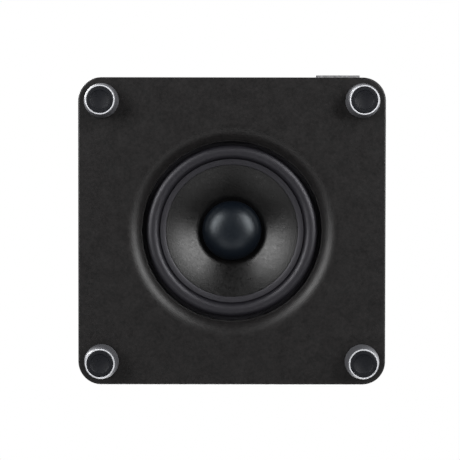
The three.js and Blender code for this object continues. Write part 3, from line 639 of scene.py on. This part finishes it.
def front_badge():
    """A thin strip with a raised rim round a blank field."""
    low, high = low_mm("front_badge"), high_mm("front_badge")
    width, height, thick = high.x - low.x, high.z - low.z, FRONT_Y - low.y
    rim, sunk = 1.2, 0.25
    plate = prism("front_badge_fine", outline_rect(width, height, 0.5), 0, thick, 0.2)
    inside = outline_rect(width - 2 * rim, height - 2 * rim, 0.3)
    field = prism("field", inside, thick - sunk, thick + 1, 0)
    carve(plate, [field])
    plate.data.transform(Matrix.Rotation(math.pi / 2, 4, "X"))
    shift(plate, (low.x + high.x) / 2, FRONT_Y, (low.z + high.z) / 2)
    return plate


stand_for(level(front_badge()), "front_badge")


# ------------------------------------------------------------------ feet

RING_SMOOTH_ANGLE = 12


def foot_pieces(place):
    """The shell, the bright ring let into it and the rubber pad inside the ring."""
    middle = middle_mm("foot_pad_" + place)
    centre = (middle.x, middle.y)
    body = [
        (2.3, 7.2), (4.9, 7.2), (4.9, 3.6), (11.8, 3.6), (11.8, 2.45), (13.0, 2.45, 0.25), (13.6, 4.5, 1),
        (15.2, FACE_Z - 1.6, 0.8), (15.2, FACE_Z), (2.3, FACE_Z),
    ]
    ring = [
        (11.75, 0.6, 0.1), (11.85, 0.5, 0.1), (12.7, 0.5, 0.1), (12.8, 0.6, 0.1), (12.85, 2.4, 0.1),
        (11.75, 2.4, 0.1),
    ]
    pad = [
        (0, 1.4), (2.0, 1.33, 4), (4.0, 1.12, 8), (6.0, 0.8, 8), (8.0, 0.4, 1), (8.5, 0.05, 0.3),
        (9.0, 0.0, 0.3), (10.7, 0.0, 0.5), (11.4, 0.15, 0.5), (11.7, 0.9, 0.4), (11.7, 3.3), (0, 3.3),
    ]
    for part, profile, count, smooth_angle in (("body", body, 96, SMOOTH_ANGLE),
                                               ("ring", ring, 128, RING_SMOOTH_ANGLE),
                                               ("pad", pad, 96, SMOOTH_ANGLE)):
        node = f"foot_{part}_{place}"
        stand_for(turned(node + "_fine", profile, count, 0.2, centre, smooth_angle), node)


for place in ("front_left", "front_right", "rear_left", "rear_right"):
    foot_pieces(place)


# ------------------------------------------------------------------ woofer

DRIVER_CENTRE = (0, CENTRE_Y)
DRIVER_COUNT = 256


def cone_z(radius):
    """Height of the cone's front at this radius. The cone flares: it is flattest at its rim."""
    inwards = CONE_RADIUS - radius
    return FLANGE_Z + inwards * CONE_RIM_SLOPE + inwards**2 * CONE_CURVE


def surround():
    """A flattened half roll, with a lip glued on the cone's rim and another behind it in a groove."""
    middle, half = (ROLL_OUTER + ROLL_INNER) / 2, (ROLL_OUTER - ROLL_INNER) / 2
    low, high, seat = FLANGE_Z - 1.0, FLANGE_Z - 0.3, LIP_SEAT_Z - 0.3
    inner_half, inner_height = half - 0.7, ROLL_HEIGHT - 0.2
    roll = [(middle + half * x, low + ROLL_HEIGHT * z) for x, z in arc((0, 0), 1, 180, 360, 32)]
    back = [(middle + inner_half * x, high + inner_height * z) for x, z in arc((0, 0), 1, 360, 180, 20)]
    edge = [
        (CONE_RADIUS, high), (CONE_RADIUS, low + 0.65), (CONE_RADIUS + 0.25, low + 0.5),
        (CONE_RADIUS + 0.6, low + 0.4), (ROLL_INNER - 1.3, low - 0.85), (ROLL_INNER - 0.9, low - 0.8),
        (ROLL_INNER - 0.4, low + 0.5),
    ]
    outer_lip = [
        (ROLL_OUTER, seat - 1.1), (ROLL_OUTER + 0.4, seat - 0.7), (THROAT_RADIUS, seat - 0.7),
        (THROAT_RADIUS, seat), (ROLL_OUTER - 0.7, seat),
    ]
    rings = [circle(r, z, DRIVER_COUNT, DRIVER_CENTRE) for r, z in [*edge, *roll, *outer_lip, *back]]
    return skin("surround_fine", rings, closed=True)


def cone():
    """Pressed paper, with a shallow groove round the dust cap's foot."""
    groove = [
        (CAP_RADIUS - 0.9, 0), (CAP_RADIUS - 0.6, 1.1), (CAP_RADIUS + 1.8, 1.1), (CAP_RADIUS + 2.5, 0.6),
        (CAP_RADIUS + 3.4, 0.25), (CAP_RADIUS + 4.4, 0.08),
    ]
    inner = [(r, cone_z(r)) for r in np.linspace(FORMER_SEAT, CAP_RADIUS - 1.4, 8)]
    outer = [(r, cone_z(r)) for r in np.linspace(CAP_RADIUS + 5.6, CONE_RADIUS, 32)]
    front = [*inner, *[(r, cone_z(r) + depth) for r, depth in groove], *outer]
    edge, thickness = ROLL_INNER - 0.9, 1.4
    back = [(r, cone_z(r) + thickness) for r in np.linspace(CONE_RADIUS, FORMER_SEAT, 32)]
    profile = [*front, (edge, FLANGE_Z), (edge, FLANGE_Z + 1.0), *back]
    rings = [circle(r, z, DRIVER_COUNT, DRIVER_CENTRE) for r, z in profile]
    return skin("cone_fine", rings, closed=True)


def cap_curve(radius, height, rim, steps):
    """The dome's section from its crest to its rim: fuller than an ellipse."""
    power = 2 / CAP_FULLNESS
    turns = np.radians(np.linspace(0, 90, steps + 1))
    return [(radius * math.sin(t) ** power, rim - height * max(math.cos(t), 0) ** power) for t in turns]


def dust_cap():
    """A full dome, whose rim stands in the cone's groove."""
    wall, foot = 0.8, cone_z(CAP_RADIUS) + 0.5
    rim = cone_z(CAP_RADIUS) - 0.3
    outside = cap_curve(CAP_RADIUS, CAP_HEIGHT, rim, 48)
    inside = cap_curve(CAP_RADIUS - wall, CAP_HEIGHT - wall, rim, 24)[::-1]
    profile = [*outside, (CAP_RADIUS, foot), (CAP_RADIUS - wall, foot), *inside]
    rings = [circle(r, z, DRIVER_COUNT, DRIVER_CENTRE) for r, z in profile]
    return skin("dust_cap_fine", rings)


def spider():
    """A corrugated cloth disc: waves between two flat rings."""
    outer, first_wave, last_wave = 53.2, 22.5, 46.5
    cycles, wave_height, thickness, steps = 4, 1.6, 0.6, 96
    middle = low_mm("spider").z + wave_height
    profile = [(FORMER_SEAT, middle)]
    for k in range(steps + 1):
        share = k / steps
        wave = wave_height * math.sin(2 * math.pi * cycles * share)
        profile.append((first_wave + (last_wave - first_wave) * share, middle - wave))
    profile.append((outer, middle))
    front = [circle(r, z, 128, DRIVER_CENTRE) for r, z in profile]
    back = [circle(r, z + thickness, 128, DRIVER_CENTRE) for r, z in reversed(profile)]
    return skin("spider_fine", [*front, *back], closed=True)


def stretch(piece):
    """Bakes the piece's placement into its mesh."""
    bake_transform(piece)


WIRE_ROUNDNESS = 5
WIRE_STEPS = 48
WIRE_SMOOTH_ANGLE = 40


def wire(name, points, radius):
    """A round wire along a smooth curve through the points."""
    curve = bpy.data.curves.new(name, "CURVE")
    curve.dimensions = "3D"
    spline = curve.splines.new("BEZIER")
    spline.bezier_points.add(len(points) - 1)
    for bezier, point in zip(spline.bezier_points, points):
        bezier.co = Vector(point) * MM
        bezier.handle_left_type = bezier.handle_right_type = "AUTO"
    curve.bevel_depth = radius * MM
    curve.bevel_resolution = WIRE_ROUNDNESS
    curve.resolution_u = WIRE_STEPS // len(points)
    curve.use_fill_caps = True
    drawn = bpy.data.objects.new(name, curve)
    bpy.context.scene.collection.objects.link(drawn)
    bpy.context.view_layer.update()
    mesh = bpy.data.meshes.new_from_object(drawn.evaluated_get(bpy.context.evaluated_depsgraph_get()))
    bpy.data.objects.remove(drawn)
    piece = bpy.data.objects.new(name, mesh)
    bpy.context.scene.collection.objects.link(piece)
    tidy_mesh(piece, WIRE_SMOOTH_ANGLE)
    return piece


def lead_wire(side, sign):
    """A flexible lead that loops from the tag strip to the back of the cone."""
    strip = low_mm("terminal_strip")
    x, landing = 7 * sign, 40
    landing_z = cone_z(math.hypot(x, landing)) + 2.2
    points = [
        (x, strip.y - 0.1, strip.z + 11.5), (x, CENTRE_Y + 72, strip.z + 15),
        (x, CENTRE_Y + 58, strip.z + 19), (x, CENTRE_Y + 47, strip.z + 18.5),
        (x, CENTRE_Y + landing, landing_z),
    ]
    piece = wire(f"lead_wire_{side}_fine", points, 0.8)
    stand_for(piece, f"lead_wire_{side}", ride=False)
    stretch(piece)


stretch(stand_for(surround(), "surround", ride=False))
stretch(stand_for(spider(), "spider", ride=False))
stand_for(cone(), "cone")
stand_for(dust_cap(), "dust_cap")
for side, sign in (("left", -1), ("right", 1)):
    lead_wire(side, sign)


# ------------------------------------------------------------------ back panel

def panel_place(node):
    """Where a node's middle lies in the panel's frame: (x, y)."""
    middle = middle_mm(node)
    return -middle.x, middle.z - PANEL_CENTRE_Z


def to_panel(piece, x=0.0, y=0.0):
    """Moves a piece modelled round the panel frame's origin to its place on the panel."""
    turn = Matrix(((-1, 0, 0, 0), (0, 0, 1, 0), (0, 1, 0, 0), (0, 0, 0, 1)))
    place = Matrix.Translation(Vector((-x, REAR_Y, PANEL_CENTRE_Z + y)) * MM)
    piece.data.transform(place @ turn)
    return piece


KNOBS = ("gain", "crossover")
JACKS = ("line_in_jack_1", "line_in_jack_2")
KNOB_TURN = 140  # degrees either way
KNOB_HOLE, JACK_HOLE, LENS_HOLE, SCREW_HOLE = 4.6, 4.2, 1.7, 2.2  # radii of the round holes
WINDOWS = {"phase_switch_body": (9.2, 4.8), "rocker_frame": (14.2, 21.4), "power_inlet": (28.2, 21)}
JACK_TIP = PANEL_FACE + 10.3
LENS_RADIUS = 1.5
SCREW_INSET = 4.5
SCREW_RADIUS, SCREW_HEIGHT = 3.6, 1.6
SHANK_RADIUS, SHANK_LENGTH, SHANK_TIP = 1.7, 16, 1.5


def screw_places():
    x, y = PANEL_WIDTH / 2 - SCREW_INSET, PANEL_HEIGHT / 2 - SCREW_INSET
    corners = [(-x, -y), (-x, y), (x, -y), (x, y)]
    sides = [(x, 0), (-x, 0), (0, y), (0, -y)]
    return corners, sides


def rod(name, radius, low, high, x, y, count=48):
    return shift(turned(name, [(0, low), (radius, low), (radius, high), (0, high)], count, 0), x, y)


def amp_plate():
    """The panel, with a hole for each control, socket and screw and for the status light."""
    outline = outline_rect(PANEL_WIDTH, PANEL_HEIGHT, 6, 10)
    plate = prism("amp_plate_fine", outline, PANEL_BACK, PANEL_FACE, 0.5)
    low, high = PANEL_BACK - 2, PANEL_FACE + 2
    cutters = [rod("cut", KNOB_HOLE, low, high, *panel_place(label + "_knob")) for label in KNOBS]
    cutters += [rod("cut", JACK_HOLE, low, high, *panel_place(jack)) for jack in JACKS]
    cutters.append(rod("cut", LENS_HOLE, low, high, *panel_place("status_lens")))
    for places in screw_places():
        cutters += [rod("cut", SCREW_HOLE, low, high, x, y, 24) for x, y in places]
    for node, (width, height) in WINDOWS.items():
        hole = prism("cut", outline_rect(width, height, 0.5, 3), low, high, 0)
        cutters.append(shift(hole, *panel_place(node)))
    return to_panel(carve(plate, cutters))


def panel_screw(name, x, y):
    """A pan head with a cross recess, and its shank."""
    profile = [
        (0, SCREW_HEIGHT), (SCREW_RADIUS * 0.45, SCREW_HEIGHT * 0.97, 1),
        (SCREW_RADIUS * 0.9, SCREW_HEIGHT * 0.62, 0.8), (SCREW_RADIUS, 0.1), (SCREW_RADIUS, 0),
        (SHANK_RADIUS, 0), (SHANK_RADIUS, -SHANK_LENGTH), (0, -SHANK_LENGTH - SHANK_TIP),
    ]
    head = turned(name, profile, 40, 0.15)
    long, narrow = SCREW_RADIUS * 1.15, SCREW_RADIUS * 0.26
    slots = [box_piece("cut", (width, depth, 2.4), (0, 0, SCREW_HEIGHT + 0.15), 0.25)
             for width, depth in ((long, narrow), (narrow, long))]
    return to_panel(shift(carve(head, slots), 0, 0, PANEL_FACE), x, y)


def knob(label):
    """A round knob with fine flutes, a chamfered top and a pointer groove."""
    low, high = low_mm(label + "_knob"), high_mm(label + "_knob")
    base, top = PANEL_FACE + 0.5, high.y - REAR_Y
    count, flutes, flute_depth = 360, 36, 0.28
    turn = np.arange(count) * 2 * math.pi / count
    # Each point is [radius, z, share of the flutes' full depth].
    profile = [
        (0, top - 0.3, 0), (5.8, top - 0.3, 0), (6.3, top, 0), (6.9, top, 0), (7.6, top - 0.7, 0.3),
        (7.9, top - 1.6, 1), (8.3, base + 2.6, 1), (8.3, base + 2.0, 0), (8.6, base + 1.6, 0),
        (8.6, base, 0), (6.2, base, 0), (6.2, base + 4.8, 0), (2.9, base + 4.8, 0),
        (2.9, low.y - REAR_Y, 0), (0, low.y - REAR_Y, 0),
    ]
    rings = []
    for radius, z, share in profile:
        depth = flute_depth * share * (0.5 - 0.5 * np.cos(flutes * turn)) ** 2
        r = np.maximum(radius - depth, ON_AXIS)
        rings.append(np.stack([r * np.cos(turn), r * np.sin(turn), np.full(count, float(z))], axis=1))
    piece = skin(f"{label}_knob_fine", rings)
    groove = box_piece("cut", (1.1, 6.4, 1.4), (0, 5.6, top), 0)
    carve(piece, [groove])
    return to_panel(piece, *panel_place(label + "_knob"))


def pointer(label):
    top = high_mm(label + "_knob").y - REAR_Y
    mark = box_piece(f"{label}_pointer", (0.9, 5.2, 0.5), (0, 5.0, top - 0.42), 0.1)
    return to_panel(mark, *panel_place(label + "_knob"))


def printed_line(length, x, y):
    """A thin line of print on the panel, along its x."""
    return box_piece("dial_tick", (length, 0.5, 0.06), (x, y, PANEL_FACE + 0.02), 0)


def dial_marks():
    """Ticks round each knob, from its lower to its upper limit, and dashes in place of lettering."""
    marks = []
    first_tick, tick_count, long_ticks = 11.6, 11, (0, 5, 10)
    for label in KNOBS:
        x, y = panel_place(label + "_knob")
        for k in range(tick_count):
            turn = math.radians(90 + KNOB_TURN - 2 * KNOB_TURN * k / (tick_count - 1))
            long = 3.2 if k in long_ticks else 2.0
            tick = printed_line(long, first_tick + long / 2, 0)
            tick.data.transform(Matrix.Rotation(turn, 4, "Z"))
            marks.append(shift(tick, x, y))
    for node, length, below_node in (("phase_switch_body", 6, 7.5), ("status_lens", 6, 4.5),
                                     *((jack, 9, 9.5) for jack in JACKS)):
        x, y = panel_place(node)
        marks.append(printed_line(length, x, y - below_node))
    merged = merge(marks)
    merged.name = "dial_marks"
    return to_panel(merged)


def line_jack(node):
    """A gold sleeve with a hexagonal nut at its foot."""
    base, nut_radius = PANEL_FACE + 0.3, 5.6
    sleeve = turned(node + "_fine", [
        (0, -8), (3.6, -8), (3.6, base - 0.3), (6.2, base - 0.3), (6.2, base + 0.5), (4.15, base + 0.5),
        (4.15, JACK_TIP, 0.4), (3.45, JACK_TIP, 0.2), (3.45, base + 2.5), (0, base + 2.5),
    ], 64, 0.15)
    hexagon = [(nut_radius * math.cos(math.radians(60 * k)), nut_radius * math.sin(math.radians(60 * k)))
               for k in range(6)]
    nut = prism("nut", hexagon, base + 0.4, base + 2.6, 0.35)
    return to_panel(merge([sleeve, nut]), *panel_place(node))


def jack_insert(node):
    """The coloured ring inside a jack, with a hole in its middle."""
    foot, rim, hole_end = PANEL_FACE + 3, JACK_TIP - 1.2, JACK_TIP - 6
    profile = [(0, foot), (3.4, foot), (3.4, rim, 0.3), (1.7, rim, 0.3), (1.7, hole_end), (0, hole_end)]
    return to_panel(turned(node + "_insert", profile, 48, 0.1), *panel_place(node))


def rocker_frame():
    """A bezel on a body behind the panel, with a well for the rocker."""
    low = PANEL_FACE
    bezel = prism("rocker_frame_fine", outline_rect(17, 25, 1.5, 6), low, low + 1.9, 0.5, 4)
    carve(bezel, [box_piece("body", (13.6, 20.8, 18), (0, 0, low - 8.9), 0.2)], "UNION")
    carve(bezel, [prism("well", outline_rect(11.4, 19.8, 0.6, 3), -6, low + 5, 0)])
    return to_panel(bezel, *panel_place("rocker_frame"))


def power_rocker():
    """Two sloping halves that meet in a shallow valley, tilted to the off side."""
    radius, width, pivot, tilt = 9.3, 10.6, 1.5, -8
    right = arc((0, 0), radius, -12, 31, 12)
    left = [(-a, b) for a, b in reversed(right)]
    outline = soften([*right, (0, 3.4), *left], 0.5, 3)
    bar = prism("power_rocker_fine", outline, -width / 2, width / 2, 0.35)
    bar.data.transform(Matrix(((0, 0, 1, 0), (1, 0, 0, 0), (0, 1, 0, 0), (0, 0, 0, 1))))
    bar.data.transform(Matrix.Rotation(math.radians(tilt), 4, "X"))
    return to_panel(shift(bar, z=pivot), *panel_place("rocker_frame"))


def power_inlet():
    """A flanged mains inlet, whose socket has two cut corners."""
    low = PANEL_FACE
    flange = prism("power_inlet_fine", outline_rect(31, 24, 2, 6), low, low + 2.1, 0.5, 4)
    carve(flange, [box_piece("body", (27.6, 20.4, 22), (0, 0, low - 10.9), 0.2)], "UNION")
    w, h, cut = 12, 8.2, 4
    mouth = [
        (-w, -h, 1), (w, -h, 1), (w, h - cut, 0.6), (w - cut, h, 0.6), (cut - w, h, 0.6), (-w, h - cut, 0.6),
    ]
    carve(flange, [prism("socket", soften(mouth, 0.6, 4), low - 13, low + 5, 0)])
    return to_panel(flange, *panel_place("power_inlet"))


def inlet_pins():
    length, middle = 13, PANEL_FACE - 6.7
    pins = [box_piece("inlet_pins", (2, 4, length), (x, y, middle), 0.5, 4)
            for x, y in ((-7, -2.2), (7, -2.2), (0, 2.4))]
    return to_panel(merge(pins), *panel_place("power_inlet"))


def phase_slider():
    """A nub with three grip grooves across its top."""
    nub = box_piece("phase_slider_fine", (4.2, 4.0, 9.4), (0, 0, PANEL_FACE - 1.5), 0.3)
    top = PANEL_FACE + 3.2
    carve(nub, [box_piece("cut", (0.6, 5, 0.8), (x, 0, top), 0) for x in (-1.2, 0, 1.2)])
    return to_panel(nub, *panel_place("phase_slider"))


def status_lens():
    dome = arc((0, PANEL_FACE - 0.3), LENS_RADIUS, 90, 0, 8)
    profile = [*dome, (LENS_RADIUS, -6), (0, -6)]
    rings = [circle(r, z, 40) for r, z in profile]
    return to_panel(skin("status_lens_fine", rings), *panel_place("status_lens"))


stand_for(level(amp_plate()), "amp_plate")
corner_screws, side_screws = screw_places()
for number, (x, y) in enumerate(corner_screws):
    node = f"amp_screw_{number + 1}"
    stand_for(panel_screw(node + "_fine", x, y), node)
for number, (x, y) in enumerate(side_screws):
    screw = panel_screw(f"side_screw_{number + 1}", x, y)
    dress(screw, MATERIALS["black_screw"], "cabinet")
for label in KNOBS:
    stand_for(knob(label), label + "_knob")
    dress(pointer(label), PRINT, BODY_OF[label + "_knob"])
dress(dial_marks(), PRINT, "cabinet")
for node, insert in zip(JACKS, (WHITE_INSERT, RED_INSERT)):
    stand_for(line_jack(node), node)
    dress(jack_insert(node), insert, "cabinet")
stand_for(level(rocker_frame()), "rocker_frame")
stand_for(level(power_rocker()), "power_rocker")
stand_for(level(power_inlet()), "power_inlet")
dress(inlet_pins(), PIN_METAL, "cabinet")
stand_for(phase_slider(), "phase_slider")
stand_for(status_lens(), "status_lens")


# ------------------------------------------------------------------ studio

LIGHT_TARGET = Vector((0, CENTRE_Y, 30))
KEY_TILT = 44  # degrees from straight below
KEY_RISE = 26  # degrees from the side towards the front
LOW_DISTANCE = 2200
LOW_KEY_SIZE = (1.5, 0.9)  # metres, as are the other sizes of lights
LOW_REAR_SIZE = (0.9, 0.6)


def softbox(name, direction, distance, size, power):
    """A soft light on that side of the object, facing it."""
    light = bpy.data.lights.new(name, "AREA")
    light.shape = "RECTANGLE"
    light.size, light.size_y = size
    light.energy = power
    lamp = bpy.data.objects.new(name, light)
    bpy.context.scene.collection.objects.link(lamp)
    place = LIGHT_TARGET + Vector(direction).normalized() * distance
    aim(lamp, place, LIGHT_TARGET, up=(0, 0.01, 1))


def below(tilt, turn):
    """A direction on the underside: its tilt from straight down, and its turn from +X to the front."""
    tilt, turn = math.radians(tilt), math.radians(turn)
    return math.sin(tilt) * math.cos(turn), -math.sin(tilt) * math.sin(turn), -math.cos(tilt)


softbox("key_left", below(KEY_TILT, 180 - KEY_RISE), LOW_DISTANCE, LOW_KEY_SIZE, 32)
softbox("key_right", below(KEY_TILT, KEY_RISE), LOW_DISTANCE, LOW_KEY_SIZE, 35)
softbox("rear_low_left", below(32, 240), LOW_DISTANCE, LOW_REAR_SIZE, 2.8)
softbox("rear_low_right", below(32, 300), LOW_DISTANCE, LOW_REAR_SIZE, 2.8)
softbox("upper_key", (-0.75, -0.55, 0.75), 1800, (1.0, 1.0), 60)
softbox("upper_fill", (0.9, -0.2, 0.5), 1900, (1.2, 1.2), 28)
softbox("upper_back", (0.1, 0.95, 0.6), 1900, (1.2, 1.0), 40)

PURE_WHITE = (1, 1, 1, 1)
FLOOR_HALF = 4000
FLOOR_FADE = {"From Min": 0.3, "From Max": 1.1}  # metres from the middle
# How the world's light rises with the Z of its direction.
WORLD_DIMMING = {"From Min": -0.35, "From Max": 0.15, "To Min": 0.02, "To Max": 0.45}


def studio_world():
    """White to the camera. What the object receives is dimmer, and dimmer still from below."""
    world = bpy.data.worlds.new("studio")
    bpy.context.scene.world = world
    world.use_nodes = True
    tree = world.node_tree
    tree.nodes.clear()
    new, link = tree.nodes.new, tree.links.new
    place = new("ShaderNodeTexCoord")
    split = new("ShaderNodeSeparateXYZ")
    dimming = new("ShaderNodeMapRange")
    seen = new("ShaderNodeBackground")
    lit = new("ShaderNodeBackground")
    mix = new("ShaderNodeMixShader")
    path = new("ShaderNodeLightPath")
    set_inputs(dimming, WORLD_DIMMING)
    set_inputs(seen, {"Color": PURE_WHITE})
    set_inputs(lit, {"Color": PURE_WHITE})
    link(place.outputs["Generated"], split.inputs["Vector"])
    link(split.outputs["Z"], dimming.inputs["Value"])
    link(dimming.outputs["Result"], lit.inputs["Strength"])
    link(path.outputs["Is Camera Ray"], mix.inputs["Fac"])
    link(lit.outputs["Background"], mix.inputs[1])
    link(seen.outputs["Background"], mix.inputs[2])
    link(mix.outputs["Shader"], new("ShaderNodeOutputWorld").inputs["Surface"])


def studio_floor():
    """A pale floor, seen from above only, which fades out into the white far from the object."""
    corners = [(x * FLOOR_HALF, y * FLOOR_HALF, 0) for x, y in ((-1, -1), (1, -1), (1, 1), (-1, 1))]
    floor = make_piece("floor", corners, [(0, 1, 2, 3)])
    material = bpy.data.materials.new("floor")
    material.use_nodes = True
    tree = material.node_tree
    new, link = tree.nodes.new, tree.links.new
    shader = tree.nodes["Principled BSDF"]
    clear = new("ShaderNodeBsdfTransparent")
    side = new("ShaderNodeNewGeometry")
    mix = new("ShaderNodeMixShader")
    place = new("ShaderNodeTexCoord")
    reach = new("ShaderNodeVectorMath")
    reach.operation = "LENGTH"
    fade = new("ShaderNodeMapRange")
    fade.interpolation_type = "SMOOTHSTEP"
    most = new("ShaderNodeMath")
    most.operation = "MAXIMUM"
    set_inputs(shader, {"Base Color": (0.8, 0.8, 0.8, 1), "Roughness": 0.7})
    set_inputs(fade, FLOOR_FADE)
    link(place.outputs["Object"], reach.inputs[0])
    link(reach.outputs["Value"], fade.inputs["Value"])
    link(fade.outputs["Result"], most.inputs[0])
    link(side.outputs["Backfacing"], most.inputs[1])
    link(most.outputs["Value"], mix.inputs["Fac"])
    link(shader.outputs["BSDF"], mix.inputs[1])
    link(clear.outputs["BSDF"], mix.inputs[2])
    link(mix.outputs["Shader"], tree.nodes["Material Output"].inputs["Surface"])
    floor.data.materials.append(material)
    floor.visible_diffuse = False
    floor.visible_glossy = False
    floor.visible_transmission = False
    floor.visible_shadow = False


studio_world()
studio_floor()
bpy.context.scene.view_settings.view_transform = "Standard"
